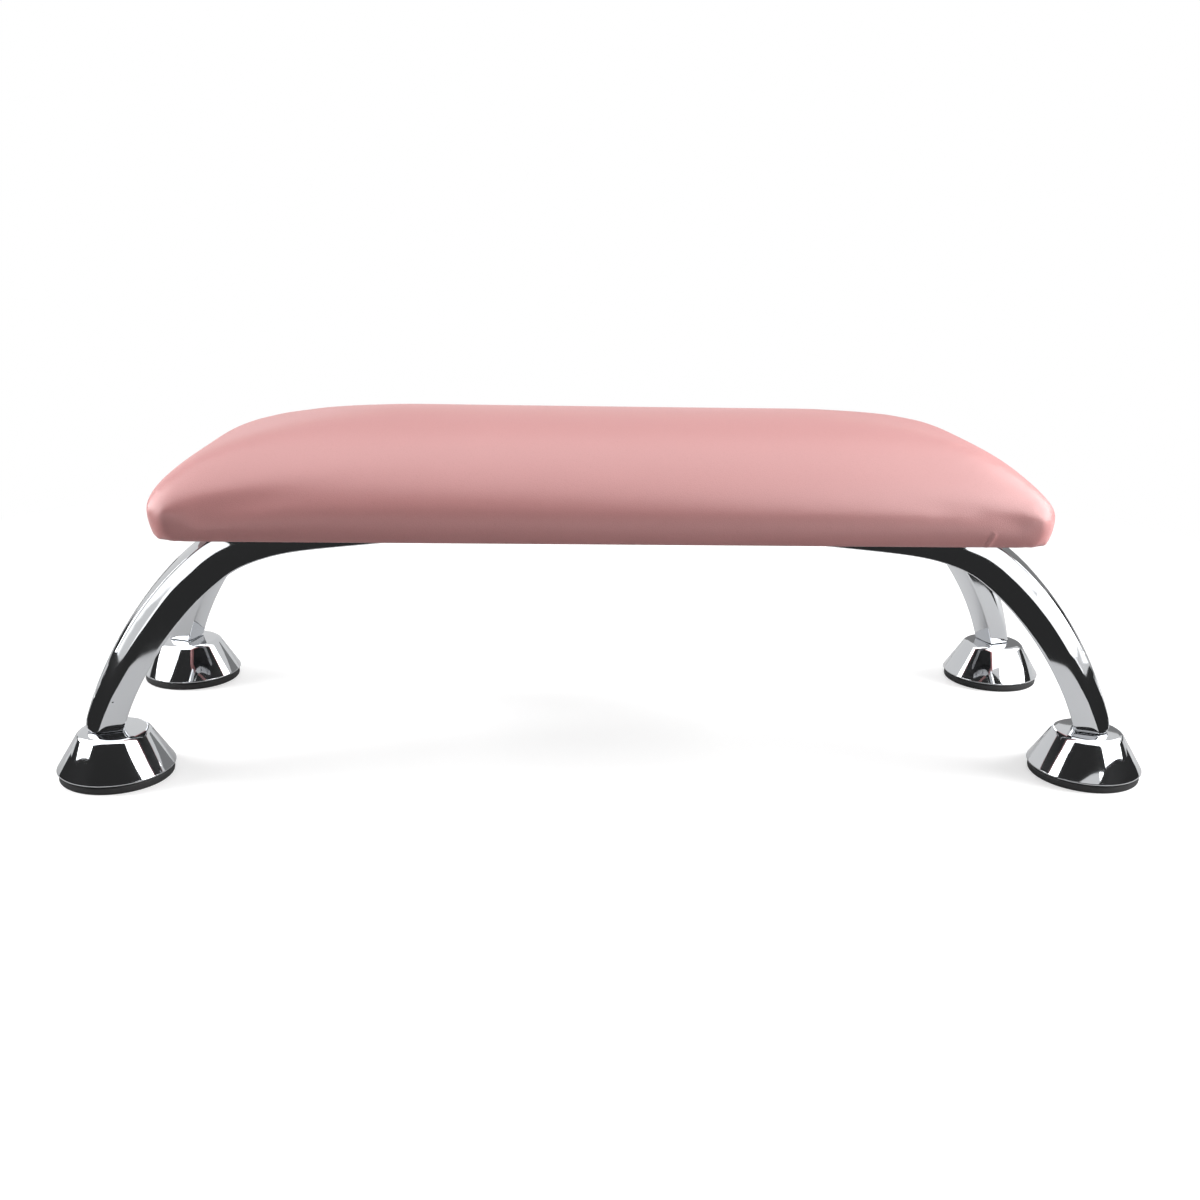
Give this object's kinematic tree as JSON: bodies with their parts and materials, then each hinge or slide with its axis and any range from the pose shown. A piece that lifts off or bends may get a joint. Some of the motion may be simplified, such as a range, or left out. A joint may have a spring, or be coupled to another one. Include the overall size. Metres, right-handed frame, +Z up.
{
  "type": "manicure hand rest",
  "caption": "Tabletop manicure hand rest: a long arched cushion in pink leather on curved polished chrome legs with cone feet and black rubber pads.",
  "frame": {"origin": "on the table top, under the middle of the cushion and midway between the four feet", "axes": "+X along the cushion to the right of the front view, +Y to the back, +Z up"},
  "size_m": [0.3796, 0.1396, 0.1215],
  "materials": {
    "pink_leather": "soft satin synthetic leather",
    "foam": "open-cell foam",
    "plywood": "raw plywood",
    "black_lining": "matt non-woven lining",
    "polished_chrome": "mirror-polished chrome plate on a zinc casting",
    "black_rubber": "matt rubber",
    "zinc_steel": "zinc-plated screw"
  },
  "bodies": {
    "root": {"cushion_cover": "pink_leather", "foam_pad": "foam", "base_board": "plywood", "underside_lining": "black_lining", "leg_front_left": "polished_chrome", "foot_cone_front_left": "polished_chrome", "rubber_pad_front_left": "black_rubber", "foot_screw_front_left": "zinc_steel", "arm_screw_front_left_1": "zinc_steel", "arm_screw_front_left_2": "zinc_steel", "leg_front_right": "polished_chrome", "foot_cone_front_right": "polished_chrome", "rubber_pad_front_right": "black_rubber", "foot_screw_front_right": "zinc_steel", "arm_screw_front_right_1": "zinc_steel", "arm_screw_front_right_2": "zinc_steel", "leg_rear_left": "polished_chrome", "foot_cone_rear_left": "polished_chrome", "rubber_pad_rear_left": "black_rubber", "foot_screw_rear_left": "zinc_steel", "arm_screw_rear_left_1": "zinc_steel", "arm_screw_rear_left_2": "zinc_steel", "leg_rear_right": "polished_chrome", "foot_cone_rear_right": "polished_chrome", "rubber_pad_rear_right": "black_rubber", "foot_screw_rear_right": "zinc_steel", "arm_screw_rear_right_1": "zinc_steel", "arm_screw_rear_right_2": "zinc_steel"}
  },
  "joints": []
}
